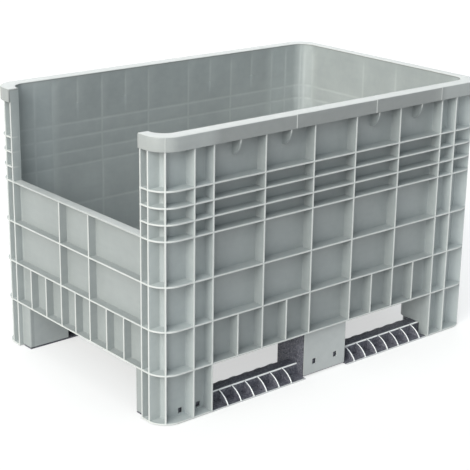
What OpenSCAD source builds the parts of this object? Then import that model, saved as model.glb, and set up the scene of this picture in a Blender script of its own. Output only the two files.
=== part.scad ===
// Rigid plastic pallet box with a picking opening in one short side, standing on two clip-on runners.
// The tub is one moulding, divided here into named regions. Each runner is one moulding as well.
// Origin: centre of the footprint, on the floor. +X runs along the long side, away from the opening.

/* [Overall] */
// Length over the rim
length = 1200; // [1160:10:1260]
// Width over the rim
width = 800; // [780:10:840]
// Height from the floor to the top of the rim
height = 780; // [770:5:830]

/* [Rim] */
// Height of the smooth band round the top
rim_h = 38; // [36:1:46]
// How far the band stands proud of the ribs
rim_proud = 5; // [5:1:8]
// Thickness of the band and of its top
rim_t = 5; // [4:0.5:5]

/* [Walls and ribs] */
// Thickness of the inner wall
wall_t = 4.5; // [3:0.5:6]
// Thickness of the outer ribs
rib_t = 5; // [3:0.5:6]
// Depth of the long sides' outer ribs, from the wall to their edges
rib_d = 33.5; // [28:0.5:38]
// Depth of the short sides' outer ribs
end_rib_d = 23.5; // [20:0.5:34]
// Angle of the rib across a corner, from the long side's direction
corner_angle = 53; // [40:1:60]
// Radius of the vertical corners at the ribs' edges
corner_r = 60; // [50:1:64]
// Radius of the corners inside the box
inner_r = 45; // [38:1:48]

/* [Rib layout] */
// Underside of the lowest rib round the tub
base_z = 140; // [130:1:150]
// Pitch of the three tall rows
tall_row = 122.2; // [115:0.1:124]
// Pitch of the three narrow rows
narrow_row = 43.6; // [38:0.1:44]
// Length of a corner post along the long side
post_len = 172.8; // [165:0.1:180]
// Width of a corner post along the short side
post_wid = 88; // [82:0.1:92]
// Distance from a post's last long-side rib to its middle rib
post_bay = 62; // [56:1:66]
// Distance from a post's last short-side rib to its middle rib
post_gap = 31; // [28:1:44]
// Width of the middle bay of a long side
centre_bay = 156; // [140:1:170]
// Width of the middle bay of a short side
end_bay = 142; // [130:1:160]
// Height of the curved gussets below the rim
gusset_h = 46; // [34:1:60]

/* [Floor] */
// Top of the floor inside the box
floor_top = 170; // [164:1:180]
// Thickness of the floor plate
floor_t = 5; // [4:0.5:7]

/* [Feet] */
// Depth of a foot, measured inwards from the long side's ribs
foot_depth = 130; // [124:1:136]
// Radius of a corner foot's corner beside the fork openings
foot_r = 28; // [20:1:32]
// How far the plain faces of the feet stand back from the ribs' edges
foot_step = 13; // [10:1:16]
// Gap between the plain faces of the feet and the floor
foot_gap = 6; // [5:0.5:8]
// Gap between a corner foot's lowest rib and the floor
flange_gap = 2; // [1.5:0.5:3]
// Width of a window for a snap lug
window_w = 14; // [10:1:16]
// Height of a window for a snap lug
window_h = 16; // [12:1:18]
// Height of the windows' centres in the corner feet
window_z = 20; // [18:1:24]
// Height of the windows' centres in the middle feet
mid_window_z = 42; // [36:1:60]
// Distance from a middle foot's centre to a window
mid_window_x = 41; // [36:1:50]

/* [Runners] */
// Height of a runner's deck
runner_h = 36; // [32:1:37]
// Width of the flat top of the deck
deck_w = 40; // [34:1:46]
// Thickness of the deck and its webs
deck_t = 3.5; // [3:0.5:4]
// Thickness of the base plate
base_t = 3.5; // [3:0.5:4]
// Pitch of the ramp ribs
ramp_pitch = 46.3; // [42:0.1:47]
// Thickness of a ramp rib
ramp_t = 4; // [3:0.5:5]
// Wall thickness of the blocks under the tub
block_t = 4; // [3:0.5:6]
// Clearance between a runner and the tub's feet
clear = 1.5; // [1.2:0.1:2]

/* [Hidden] */
$fn = 64;

grey = [0.66, 0.69, 0.68];
light_grey = [0.75, 0.75, 0.72];
dark_grey = [0.27, 0.27, 0.30];

// Half sizes of the plan outlines: ribs' edges, outside of the wall, inside of the wall
rib_x = length / 2 - rim_proud;
rib_y = width / 2 - rim_proud;
out_x = rib_x - end_rib_d;
out_y = rib_y - rib_d;
in_x = out_x - wall_t;
in_y = out_y - wall_t;
out_r = inner_r + wall_t;
rim_r = corner_r + rim_proud;

// Heights
rim_z = height - rim_h;
rim_under = height - rim_t;
levels = [for (i = [0:3]) base_z + rib_t / 2 + i * tall_row,
          for (i = [1:3]) base_z + rib_t / 2 + 3 * tall_row + i * narrow_row];
sill_z = levels[3];

// Rib centres along the long and the short side, in one quarter of the plan
post_x = rib_x - post_len + rib_t / 2;
post_y = rib_y - post_wid + rib_t / 2;
edge_x = post_x - rib_t / 2;
edge_y = post_y - rib_t / 2;
bay_x = [centre_bay / 2, (centre_bay / 2 + post_x) / 2];
half_bays_x = [(bay_x[0] + bay_x[1]) / 2, (bay_x[1] + post_x) / 2];
bay_y = end_bay / 2;
third_y = (post_y - bay_y) / 3;
half_bays_y = [0, bay_y + third_y, bay_y + 2 * third_y];

// Faces of the feet
foot_in = rib_y - foot_depth;
foot_face_x = rib_x - foot_step;
foot_face_y = rib_y - foot_step;
corner_windows_x = [post_x + post_bay / 2 - 8, post_x + post_bay + 20];
notch_z = runner_h + clear;

// A runner's plan, for the front runner
run_out = rib_y - 2;
run_in = foot_in + clear;
run_mid = (run_out + run_in) / 2;
ramp_len = (run_out - run_in - deck_w) / 2;
bay_start = centre_bay / 2 + 2 + clear;
bay_end = edge_x - clear;
lug_gap = 3;
lug_out = in_y - lug_gap;
lug_t = 3;
lug_w = 10;
lug_h = 6;
tongue_h = 32;
block_x0 = post_x + 22;
block_x1 = in_x - 16;
block_y0 = foot_in + wall_t + 2;
block_y1 = lug_out - lug_t - 7;
mid_face = foot_face_y - wall_t - lug_gap;
foot_plate = foot_face_x - block_x0 - 2;
ramp_counts = [6, 7];
// Half of the arc that a ramp rib's edge turns through, in degrees
outer_turn = 25;
inner_turn = 12;

// Big enough to pass through the whole part
far = 2000;

// ---- plan shapes -------------------------------------------------------------------------

// Rectangle with rounded corners, given by its half sizes
module plan(hx, hy, r) {
    square([2 * hx, 2 * (hy - r)], center = true);
    square([2 * (hx - r), 2 * hy], center = true);
    for (sx = [-1, 1], sy = [-1, 1])
        translate([sx * (hx - r), sy * (hy - r)]) circle(r);
}

// The band between the wall and the ribs' edges
module rib_band() {
    difference() {
        plan(rib_x, rib_y, corner_r);
        plan(out_x, out_y, out_r);
    }
}

// The wall itself
module wall_band() {
    difference() {
        plan(out_x, out_y, out_r);
        plan(in_x, in_y, inner_r);
    }
}

// The quarter of the plan that a corner post takes up
module post_zone() {
    translate([edge_x, edge_y]) square(far);
}

// A post's upright ribs: two on the long side, two on the short side and one across the corner
module post_rib_plan() {
    intersection() {
        rib_band();
        post_zone();
        union() {
            for (x = [post_x, post_x + post_bay])
                translate([x - rib_t / 2, out_y - far / 2]) square([rib_t, far]);
            for (y = [post_y, post_y + post_gap])
                translate([out_x - out_r, y - rib_t / 2]) square([far, rib_t]);
            translate([rib_x - corner_r, rib_y - corner_r]) rotate(corner_angle)
                translate([0, -rib_t / 2]) square([far, rib_t]);
        }
    }
}

// ---- copies to the four corners and the two sides ------------------------------------------

// Mirrors a shape made at the +X, +Y corner to the corner given by two signs
module at_corner(sx, sy) {
    mirror([sx < 0 ? 1 : 0, 0, 0]) mirror([0, sy < 0 ? 1 : 0, 0]) children();
}

// Turns a front shape half a turn about the vertical, to the rear
module to_rear() {
    rotate([0, 0, 180]) children();
}

// A box given by its low and its high corner
module span(low, high) {
    translate(low) cube(high - low);
}

// ---- the tub -----------------------------------------------------------------------------

// One corner post, from the lowest rib to the top of the rim's channel
module post() {
    color(grey) union() {
        translate([0, 0, base_z]) linear_extrude(rim_z - base_z) intersection() {
            wall_band();
            post_zone();
        }
        translate([0, 0, base_z]) linear_extrude(rim_under - base_z) post_rib_plan();
        for (z = levels)
            translate([0, 0, z - rib_t / 2]) linear_extrude(rib_t) intersection() {
                rib_band();
                post_zone();
            }
    }
}

// A web with a convex quarter-round edge that braces the rim against the wall, made for the front side
module gusset(x) {
    web_t = rib_t - 1;
    translate([x - web_t / 2, -out_y, rim_z]) rotate([90, 0, 90]) linear_extrude(web_t) {
        translate([-rib_d, -1]) square([rib_d, rim_h - rim_t + 1]);
        intersection() {
            translate([-rib_d, -gusset_h]) square([rib_d, gusset_h]);
            scale([1, gusset_h / rib_d]) circle(rib_d);
        }
    }
}

// A long side between two posts: wall, rows of ribs, half bays in the lowest row and gussets
module long_wall() {
    color(grey) union() {
        span([-edge_x, -out_y, base_z], [edge_x, -in_y, rim_z]);
        for (z = levels) span([-edge_x, -rib_y, z - rib_t / 2], [edge_x, -out_y, z + rib_t / 2]);
        for (s = [-1, 1], x = bay_x)
            span([s * x - rib_t / 2, -rib_y, base_z], [s * x + rib_t / 2, -out_y, rim_under]);
        for (s = [-1, 1], x = half_bays_x) {
            span([s * x - rib_t / 2, -rib_y, base_z], [s * x + rib_t / 2, -out_y, levels[1]]);
            gusset(s * x);
        }
    }
}

// Upright ribs of a short side, on the +X side, up to a given height
module short_ribs(top) {
    for (s = [-1, 1]) span([out_x, s * bay_y - rib_t / 2, base_z], [rib_x, s * bay_y + rib_t / 2, top]);
    for (s = [-1, 1], y = half_bays_y)
        span([out_x, s * y - rib_t / 2, base_z], [rib_x, s * y + rib_t / 2, levels[1]]);
}

// The closed short side
module end_wall() {
    color(grey) union() {
        span([in_x, -edge_y, base_z], [out_x, edge_y, rim_z]);
        for (z = levels) span([out_x, -edge_y, z - rib_t / 2], [rib_x, edge_y, z + rib_t / 2]);
        short_ribs(rim_under);
    }
}

// The low wall below the picking opening
module picking_wall() {
    top = sill_z - rib_t / 2;
    color(grey) mirror([1, 0, 0]) union() {
        span([in_x, -edge_y, base_z], [out_x, edge_y, top]);
        for (i = [0:2])
            span([out_x, -edge_y, levels[i] - rib_t / 2], [rib_x, edge_y, levels[i] + rib_t / 2]);
        short_ribs(top);
    }
}

// The flat ledge along the bottom of the picking opening
module picking_sill() {
    color(light_grey)
        span([-rib_x, -edge_y, sill_z - rib_t / 2], [-in_x, edge_y, sill_z + rib_t / 2]);
}

// The floor plate on a grid of ribs that reach down to the lowest rib round the tub
module floor_deck() {
    ribs_x = 11;
    ribs_y = 7;
    color(grey) union() {
        translate([0, 0, floor_top - floor_t]) linear_extrude(floor_t) plan(in_x, in_y, inner_r);
        for (i = [0:ribs_x - 1]) {
            x = (i / (ribs_x - 1) - 0.5) * 2 * (in_x - inner_r);
            span([x - rib_t / 2, -in_y, base_z], [x + rib_t / 2, in_y, floor_top - floor_t]);
        }
        for (i = [0:ribs_y - 1]) {
            y = (i / (ribs_y - 1) - 0.5) * 2 * (in_y - inner_r);
            span([-in_x, y - rib_t / 2, base_z], [in_x, y + rib_t / 2, floor_top - floor_t]);
        }
    }
}

// ---- the rim, a channel that is open underneath ---------------------------------------------

// A straight length of rim on the front side
module rim_rail_long() {
    color(light_grey) union() {
        span([-edge_x, -out_y, rim_z], [edge_x, -in_y, height]);
        span([-edge_x, -width / 2, rim_under], [edge_x, -in_y, height]);
        span([-edge_x, -width / 2, rim_z], [edge_x, -rib_y, height]);
    }
}

// The rim over the closed short side
module rim_end() {
    color(light_grey) union() {
        span([in_x, -edge_y, rim_z], [out_x, edge_y, height]);
        span([in_x, -edge_y, rim_under], [length / 2, edge_y, height]);
        span([rib_x, -edge_y, rim_z], [length / 2, edge_y, height]);
    }
}

// The rim round a corner; the post's outermost rib closes it beside the opening
module rim_corner() {
    color(light_grey) union() {
        translate([0, 0, rim_z]) linear_extrude(rim_h) intersection() {
            wall_band();
            post_zone();
        }
        translate([0, 0, rim_under]) linear_extrude(rim_t) intersection() {
            difference() {
                plan(length / 2, width / 2, rim_r);
                plan(in_x, in_y, inner_r);
            }
            post_zone();
        }
        translate([0, 0, rim_z]) linear_extrude(rim_h) intersection() {
            difference() {
                plan(length / 2, width / 2, rim_r);
                plan(rib_x, rib_y, corner_r);
            }
            post_zone();
        }
    }
}

// ---- the feet ----------------------------------------------------------------------------

// Plan of a corner foot's plain part, with one rounded corner beside the fork openings
module foot_box(inset) {
    x0 = edge_x + inset;
    y0 = foot_in + inset;
    r = foot_r - inset;
    x1 = foot_face_x - inset;
    y1 = post_y;
    difference() {
        translate([x0, y0]) square([x1 - x0, y1 - y0]);
        translate([x0 - 1, y0 - 1]) square([r + 1, r + 1]);
    }
    intersection() {
        translate([x0 + r, y0 + r]) circle(r);
        translate([x0, y0]) square(r);
    }
}

// A corner foot: the post's ribs carried down to the floor, and a plain box behind them
module corner_foot() {
    flange_z = flange_gap + rib_t;
    color(grey) difference() {
        union() {
            translate([0, 0, foot_gap]) linear_extrude(base_z - foot_gap) intersection() {
                wall_band();
                post_zone();
            }
            translate([0, 0, flange_gap]) linear_extrude(base_z - flange_gap) post_rib_plan();
            translate([0, 0, flange_gap]) linear_extrude(rib_t) intersection() {
                rib_band();
                post_zone();
            }
            translate([0, 0, foot_gap]) linear_extrude(base_z - foot_gap) difference() {
                union() {
                    foot_box(0);
                    translate([edge_x, foot_in + foot_r]) square([rib_t, out_y - foot_in - foot_r]);
                }
                foot_box(wall_t);
                translate([edge_x + rib_t, edge_y]) square([in_x - edge_x - rib_t, far]);
            }
        }
        for (x = corner_windows_x)
            span([x - window_w / 2, in_y - 1, window_z - window_h / 2],
                 [x + window_w / 2, out_y + 1, window_z + window_h / 2]);
        span([edge_x - 1, foot_in - 1, 0], [edge_x + foot_r + 1, in_y, notch_z]);
    }
}

// The plain panel in the middle of a long side, with two windows for snap lugs
module centre_foot() {
    half = centre_bay / 2 + 2;
    color(grey) difference() {
        span([-half, -foot_face_y, foot_gap], [half, -foot_face_y + wall_t, base_z]);
        for (s = [-1, 1])
            span([s * mid_window_x - window_w / 2, -foot_face_y - 1, mid_window_z - window_h / 2],
                 [s * mid_window_x + window_w / 2, -foot_face_y + wall_t + 1, mid_window_z + window_h / 2]);
    }
}

// ---- the runners, made for the front side ----------------------------------------------------

// The plate that lies on the floor: full width between the feet, narrower inside them
module runner_base() {
    color(dark_grey) linear_extrude(base_t) union() {
        intersection() {
            plan(in_x - 2, in_y - 2, inner_r - 2);
            translate([-block_x1, -lug_out]) square([2 * block_x1, lug_out - run_in]);
        }
        for (s = [-1, 1]) {
            translate([s * (bay_start + bay_end) / 2 - (bay_end - bay_start) / 2, -run_out])
                square([bay_end - bay_start, run_out - run_in]);
            translate([s * (foot_face_x + block_x0) / 2 - foot_plate / 2, -edge_y + 2])
                square([foot_plate, edge_y - run_in - 2]);
        }
        translate([-bay_start, -mid_face]) square([2 * bay_start, mid_face - run_in]);
    }
}

// The raised deck between the blocks: a top plate on two webs
module runner_deck() {
    color(dark_grey) for (s = [0, 1]) mirror([s, 0, 0]) union() {
        x0 = centre_bay / 2 + 1;
        span([x0, -run_mid - deck_w / 2, runner_h - deck_t], [block_x0, -run_mid + deck_w / 2, runner_h]);
        for (y = [-run_mid - deck_w / 2, -run_mid + deck_w / 2 - deck_t])
            span([x0, y, base_t], [block_x0, y + deck_t, runner_h]);
    }
}

// Profile of a ramp rib: level with the deck at its top, falling in a convex arc to the base plate
module ramp_profile(half_turn) {
    rise = runner_h - base_t;
    chord = sqrt(ramp_len * ramp_len + rise * rise);
    r = chord / (2 * sin(half_turn));
    top_slope = atan(rise / ramp_len) - half_turn;
    intersection() {
        translate([0, base_t]) square([ramp_len, rise]);
        translate([-r * sin(top_slope), runner_h - r * cos(top_slope)]) circle(r);
    }
}

// Ramp ribs on both edges of the deck, so that truck wheels roll over it: rounder outside than inside
module runner_ramp_ribs() {
    middle = (bay_start + bay_end) / 2;
    color(dark_grey) for (side = [0, 1]) {
        n = ramp_counts[side];
        for (i = [0:n - 1]) {
            x = (side == 0 ? -1 : 1) * middle + (i - (n - 1) / 2) * ramp_pitch;
            translate([x - ramp_t / 2, -run_mid + deck_w / 2, 0])
                rotate([90, 0, 90]) linear_extrude(ramp_t) ramp_profile(inner_turn);
            translate([x + ramp_t / 2, -run_mid - deck_w / 2, 0])
                rotate([90, 0, -90]) linear_extrude(ramp_t) ramp_profile(outer_turn);
        }
    }
}

// A hollow block with a cross wall, open at the top, given by its low and its high corner
module block(low, high) {
    cell = (high[0] - low[0] - 3 * block_t) / 2;
    difference() {
        span(low, high);
        for (i = [0, 1]) {
            x = low[0] + block_t + i * (cell + block_t);
            span([x, low[1] + block_t, low[2] + block_t], [x + cell, high[1] - block_t, high[2] + 1]);
        }
    }
}

// The block behind the middle foot, which carries the tub's floor
module runner_centre_block() {
    half = centre_bay / 2 + 1;
    color(dark_grey) block([-half, -mid_face, base_t], [half, -run_in, base_z]);
}

// The blocks inside the two corner feet
module runner_end_blocks() {
    color(dark_grey) for (s = [0, 1]) mirror([s, 0, 0])
        block([block_x0, -block_y1, base_t], [block_x1, -block_y0, base_z]);
}

// One lug's nose: a wedge that thins upwards, made on a face that looks towards -Y
module nose(x, z) {
    depth = lug_gap - 0.6;
    translate([x - lug_w / 2, 0, z - lug_h / 2]) rotate([90, 0, 90]) linear_extrude(lug_w)
        polygon([[0, 0], [-depth, 0], [-depth, lug_h / 3], [0, lug_h]]);
}

// Snap lugs: tongues on the base plate for the corner feet, noses on the block for the middle foot
module runner_lugs() {
    color(dark_grey) {
        for (s = [-1, 1], x = corner_windows_x) union() {
            span([s * x - lug_w / 2, -lug_out, base_t], [s * x + lug_w / 2, -lug_out + lug_t, tongue_h]);
            translate([0, -lug_out, 0]) nose(s * x, window_z);
        }
        for (s = [-1, 1]) translate([0, -mid_face, 0]) nose(s * mid_window_x, mid_window_z);
    }
}

floor_deck();
long_wall();  // front_wall
to_rear() long_wall();  // rear_wall
end_wall();
picking_wall();
picking_sill();
at_corner(-1, -1) post();  // post_front_left
at_corner(1, -1) post();  // post_front_right
at_corner(-1, 1) post();  // post_rear_left
at_corner(1, 1) post();  // post_rear_right
rim_rail_long();  // rim_front
to_rear() rim_rail_long();  // rim_rear
rim_end();
at_corner(-1, -1) rim_corner();  // rim_corner_front_left
at_corner(1, -1) rim_corner();  // rim_corner_front_right
at_corner(-1, 1) rim_corner();  // rim_corner_rear_left
at_corner(1, 1) rim_corner();  // rim_corner_rear_right
at_corner(-1, -1) corner_foot();  // foot_front_left
at_corner(1, -1) corner_foot();  // foot_front_right
at_corner(-1, 1) corner_foot();  // foot_rear_left
at_corner(1, 1) corner_foot();  // foot_rear_right
centre_foot();  // centre_foot_front
to_rear() centre_foot();  // centre_foot_rear
runner_base();  // front_runner_base
runner_deck();  // front_runner_deck
runner_ramp_ribs();  // front_runner_ramp_ribs
runner_centre_block();  // front_runner_centre_block
runner_end_blocks();  // front_runner_end_blocks
runner_lugs();  // front_runner_lugs
to_rear() runner_base();  // rear_runner_base
to_rear() runner_deck();  // rear_runner_deck
to_rear() runner_ramp_ribs();  // rear_runner_ramp_ribs
to_rear() runner_centre_block();  // rear_runner_centre_block
to_rear() runner_end_blocks();  // rear_runner_end_blocks
to_rear() runner_lugs();  // rear_runner_lugs
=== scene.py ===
# %% [markdown]
# # A ribbed pallet box on two skid runners
# The real object is three mouldings. A light grey tub with thin walls carries a grid of deep ribs on its
# outside, and two dark runners clip under its feet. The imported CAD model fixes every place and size, so it
# is loaded first, and each new surface is worked out around it.

# %% Load the frame
import math

import bpy
import numpy as np
from mathutils import Matrix, Vector


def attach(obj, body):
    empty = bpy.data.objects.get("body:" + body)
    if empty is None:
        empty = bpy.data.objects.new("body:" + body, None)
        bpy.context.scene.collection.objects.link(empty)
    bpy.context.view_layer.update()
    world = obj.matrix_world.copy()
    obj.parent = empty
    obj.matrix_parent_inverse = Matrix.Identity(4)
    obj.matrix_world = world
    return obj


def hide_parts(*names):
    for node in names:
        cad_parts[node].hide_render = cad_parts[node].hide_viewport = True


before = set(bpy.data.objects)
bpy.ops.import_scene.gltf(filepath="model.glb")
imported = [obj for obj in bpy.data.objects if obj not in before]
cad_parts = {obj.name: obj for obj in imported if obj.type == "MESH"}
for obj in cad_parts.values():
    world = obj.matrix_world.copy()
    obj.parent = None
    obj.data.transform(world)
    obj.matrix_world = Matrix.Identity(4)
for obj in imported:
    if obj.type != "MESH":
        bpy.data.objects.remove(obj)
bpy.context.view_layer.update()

MM = 0.001

# %% [markdown]
# ## Sizes of the mouldings
# One set of numbers is given here, and everything else follows from them. They are in millimetres here,
# because ribs and walls are a few millimetres thick, and only the finished mesh is turned into metres.

# %% Sizes, in millimetres
LENGTH, WIDTH, HEIGHT = 1200.0, 800.0, 780.0
RIM_H, RIM_PROUD, RIM_T = 38.0, 5.0, 5.0
WALL_T, RIB_T, RIB_D, END_RIB_D = 4.5, 5.0, 33.5, 23.5
CORNER_R, INNER_R = 60.0, 45.0
BASE_Z, TALL_ROW, NARROW_ROW = 140.0, 122.2, 43.6
POST_LEN, POST_WID, POST_BAY, POST_GAP = 172.8, 88.0, 62.0, 31.0
CENTRE_BAY, END_BAY, GUSSET_H = 156.0, 142.0, 46.0
CORNER_ANGLE = math.radians(53)
FOOT_DEPTH, FOOT_R, FOOT_STEP, FOOT_GAP, FLANGE_GAP = 130.0, 28.0, 13.0, 6.0, 2.0
RUNNER_H, DECK_W, DECK_T, BASE_T, RAMP_PITCH, RAMP_T, CLEAR = 36.0, 40.0, 3.5, 3.5, 46.3, 4.0, 1.5
RAMP_COUNTS = (6, 7)

RIB_X, RIB_Y = LENGTH / 2 - RIM_PROUD, WIDTH / 2 - RIM_PROUD
OUT_X, OUT_Y = RIB_X - END_RIB_D, RIB_Y - RIB_D
IN_X, IN_Y = OUT_X - WALL_T, OUT_Y - WALL_T
RIM_Z, RIM_UNDER = HEIGHT - RIM_H, HEIGHT - RIM_T
POST_X, POST_Y = RIB_X - POST_LEN + RIB_T / 2, RIB_Y - POST_WID + RIB_T / 2
EDGE_X, EDGE_Y = POST_X - RIB_T / 2, POST_Y - RIB_T / 2
LEVELS = [BASE_Z + RIB_T / 2 + i * TALL_ROW for i in range(4)]
LEVELS += [LEVELS[3] + i * NARROW_ROW for i in (1, 2, 3)]
SILL_LOW, SILL_HIGH = LEVELS[3] - RIB_T / 2, LEVELS[3] + RIB_T / 2
BAY_X = (CENTRE_BAY / 2, (CENTRE_BAY / 2 + POST_X) / 2)
HALF_BAYS_X = ((BAY_X[0] + BAY_X[1]) / 2, (BAY_X[1] + POST_X) / 2)
BAY_Y = END_BAY / 2
THIRD = (POST_Y - BAY_Y) / 3
HALF_BAYS_Y = (0.0, BAY_Y + THIRD, BAY_Y + 2 * THIRD)
FOOT_IN = RIB_Y - FOOT_DEPTH
FOOT_FACE_X = RIB_X - FOOT_STEP
print("rib levels", [round(z, 1) for z in LEVELS], "rim", RIM_Z, "to", HEIGHT)

# %% [markdown]
# ## Camera
# The camera stands where the ribs' crossings on both sides line up with one point of view: to the left of
# the front, a little above the rim, and about four metres away. It is a plain perspective camera with no
# shift and no depth of field, so every other view of the box can use it as well.

# %% Camera
CAMERA_AT = (-2.47475, -2.91213, 1.59182)
CAMERA_RIGHT = (0.76779079, -0.64054166, 0.01427155)
CAMERA_UP = (0.19329945, 0.25282205, 0.94800650)
CAMERA_BACK = (-0.61084583, -0.72511198, 0.31793080)
camera_data = bpy.data.cameras.new("camera")
camera_data.sensor_width = 36.0
camera_data.lens = 102.47
camera_data.clip_start, camera_data.clip_end = 0.1, 100.0
camera = bpy.data.objects.new("camera", camera_data)
bpy.context.scene.collection.objects.link(camera)
axes = Matrix((CAMERA_RIGHT, CAMERA_UP, CAMERA_BACK)).transposed()
camera.matrix_world = Matrix.Translation(CAMERA_AT) @ axes.to_4x4()
bpy.context.scene.camera = camera
print("camera", CAMERA_AT, "lens", camera_data.lens)

# %% [markdown]
# ## From arrays to a mesh
# A moulding is a closed skin. Every piece below is worked out as arrays of points in millimetres, and one
# helper turns them into a mesh. It sums the signed volume of the skin, which is negative when the faces
# look inwards, and turns them round in that case. Shading is smooth, with sharp edges only where two faces
# meet at a clear angle, as on a real part with small radii.

# %% Mesh helper
SHARP = math.radians(42)


def signed_volume(points, quads):
    """A sixth of the sum over triangles of a . (b x c), for quads cut into two triangles each."""
    a, b, c, d = (points[quads[:, i]] for i in range(4))
    first = np.einsum("ij,ij->i", a, np.cross(b, c))
    second = np.einsum("ij,ij->i", a, np.cross(c, d))
    return (first.sum() + second.sum()) / 6


def make_mesh(name, points, quads, caps=(), marks=None):
    """A mesh from points in millimetres, quads, cap polygons and point attributes."""
    points = np.asarray(points, float)
    quads = np.asarray(quads, int)
    caps = [list(map(int, cap)) for cap in caps]
    used = np.zeros(len(points), bool)
    used[quads.ravel()] = True
    for cap in caps:
        used[cap] = True
    index = np.cumsum(used) - 1
    points, quads = points[used], index[quads]
    caps = [[int(index[i]) for i in cap] for cap in caps]
    if signed_volume(points, quads) < 0:
        quads = quads[:, ::-1]
        caps = [cap[::-1] for cap in caps]
    mesh = bpy.data.meshes.new(name)
    mesh.from_pydata(points * MM, [], quads.tolist() + caps)
    for key, values in (marks or {}).items():
        layer = mesh.attributes.new(key, "FLOAT", "POINT")
        layer.data.foreach_set("value", np.asarray(values, np.float32).ravel()[used])
    mesh.validate()
    mesh.shade_smooth()
    mesh.set_sharp_from_angle(angle=SHARP)
    return mesh


def place(name, mesh, body, slot, material, *nodes):
    """Adds a mesh to the scene as a piece that rides on a body and stands for some CAD nodes."""
    piece = bpy.data.objects.new(name, mesh)
    bpy.context.scene.collection.objects.link(piece)
    mesh.materials.append(material)
    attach(piece, body)
    if nodes:
        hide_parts(*nodes)
    print(name, "faces", len(mesh.polygons))
    return piece


def grid_of(n_u, n_v, wrap=False):
    """Index quads of an n_u by n_v grid of points, closed in u if wrap is true."""
    i = np.arange(n_u if wrap else n_u - 1)[:, None]
    j = np.arange(n_v - 1)[None, :]
    here, beyond = i * n_v + j, (i + 1) % n_u * n_v + j
    return np.stack([here, beyond, beyond + 1, here + 1], -1)


def thick_sheet(outer, inner, keep=None):
    """Points and quads of the skin round a sheet: an outer grid, an inner grid and the strips between them.

    keep says which quads of the grid exist. A strip closes the skin wherever only one of two neighbouring
    quads is kept, so windows and borders get their side walls.
    """
    n_u, n_v = outer.shape[:2]
    quads = grid_of(n_u, n_v)
    keep = np.ones(quads.shape[:2], bool) if keep is None else keep
    size = n_u * n_v
    front = quads[keep]
    faces = [front, front[:, ::-1] + size]
    wide = np.pad(keep, 1)
    node = np.arange(size).reshape(n_u, n_v)
    before, after = wide[:-1, 1:-1], wide[1:, 1:-1]
    low, high = node[:, :-1], node[:, 1:]
    strip = np.stack([low, high, high + size, low + size], -1)
    faces += [strip[after & ~before], strip[before & ~after][:, ::-1]]
    before, after = wide[1:-1, :-1], wide[1:-1, 1:]
    low, high = node[:-1, :], node[1:, :]
    strip = np.stack([low, low + size, high + size, high], -1)
    faces += [strip[after & ~before], strip[before & ~after][:, ::-1]]
    points = np.concatenate([outer.reshape(-1, 3), inner.reshape(-1, 3)])
    return points, np.concatenate(faces)


def swept(sections):
    """Points, quads and end caps of a closed section carried along a path: (stations, points, 3)."""
    n_s, n_p = sections.shape[:2]
    across = grid_of(n_p, n_s, wrap=True)
    points = sections.transpose(1, 0, 2).reshape(-1, 3)
    first = np.arange(n_p) * n_s
    caps = [first[::-1], first + n_s - 1]
    return points, across.reshape(-1, 4), caps


def swept_mesh(name, sections, marks=None):
    """A mesh of one swept section, its caps turned to match its sides."""
    points, quads, caps = swept(sections)
    return make_mesh(name, points, quads, caps, marks)


# %% [markdown]
# ## The outline that the walls follow
# Seen from above, every layer of the tub is a rounded rectangle: the inside of the wall, its outside, the
# ribs' edges and the rim. One quarter of such an outline is a straight line, a quarter circle and another
# straight line, so a point on it needs only the length walked along it.

# %% Outlines
INSIDE = (IN_X, IN_Y, INNER_R)
OUTSIDE = (OUT_X, OUT_Y, INNER_R + WALL_T)
RIBS = (RIB_X, RIB_Y, CORNER_R)
RIM_SKIN = 0.8
RIM = (LENGTH / 2 - RIM_SKIN, WIDTH / 2 - RIM_SKIN, CORNER_R + RIM_PROUD - RIM_SKIN)


def quarter(outline, u):
    """The point after walking u along a quarter outline: along x, round a quarter circle, back along y."""
    half_x, half_y, radius = outline
    u = np.asarray(u, float)
    straight = half_x - radius
    bend = radius * math.pi / 2
    turn = np.clip((u - straight) / radius, 0, math.pi / 2)
    x = np.minimum(u, straight) + radius * np.sin(turn)
    y = half_y - radius * (1 - np.cos(turn)) - np.maximum(u - straight - bend, 0)
    return np.stack([x, y], -1)


def meets(outline, line, offsets):
    """Where an outline crosses lines parallel to a rib: the length walked for each offset."""
    point, across = line
    u = np.linspace(-700, 1500, 8801)
    away = (quarter(outline, u) - np.array(point)) @ np.array(across)
    return np.interp(offsets, away, u)


def along_x(x):
    """A rib's line on a long side: it stands square to the wall at x."""
    return (x, 0.0), (1.0, 0.0)


def along_y(y):
    """A rib's line on a short side: it stands square to the wall at y, and walking leads to lower y."""
    return (0.0, y), (0.0, -1.0)


CORNER_LINE = ((RIB_X - CORNER_R, RIB_Y - CORNER_R), (math.sin(CORNER_ANGLE), -math.cos(CORNER_ANGLE)))
print("corner rib meets the wall at", quarter(OUTSIDE, meets(OUTSIDE, CORNER_LINE, [0.0])).round(1))

# %% [markdown]
# ## The section of a moulded rib
# A rib is never a sharp plate. It narrows a little towards its edge so that the mould can open, its edge is
# rounded, and a small fillet joins it to the wall. The section is a row of offsets from the rib's middle.
# Each has a depth, counted down from the rib's full depth near its edge, or up from the wall at its foot.

# %% Rib section
EDGE_R, DRAFT, FILLET = 1.3, 0.5, 2.2
FULL = RIB_T / 2


def half_section(half):
    """One side of a rib, from its middle outwards: offsets, depth below the edge, depth above the wall."""
    bend = np.radians([0, 30, 60, 90])
    top = half - EDGE_R + EDGE_R * np.sin(bend)
    foot = half + DRAFT + FILLET * (1 - np.cos(np.radians([0, 45, 90])))
    offsets = np.concatenate([[0.0], top, foot])
    drop = np.concatenate([[0.0], EDGE_R * (1 - np.cos(bend)), np.full(3, np.nan)])
    rise = np.concatenate([np.full(5, np.nan), FILLET * (1 - np.sin(np.radians([0, 45, 90])))])
    return offsets, drop, rise


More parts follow.
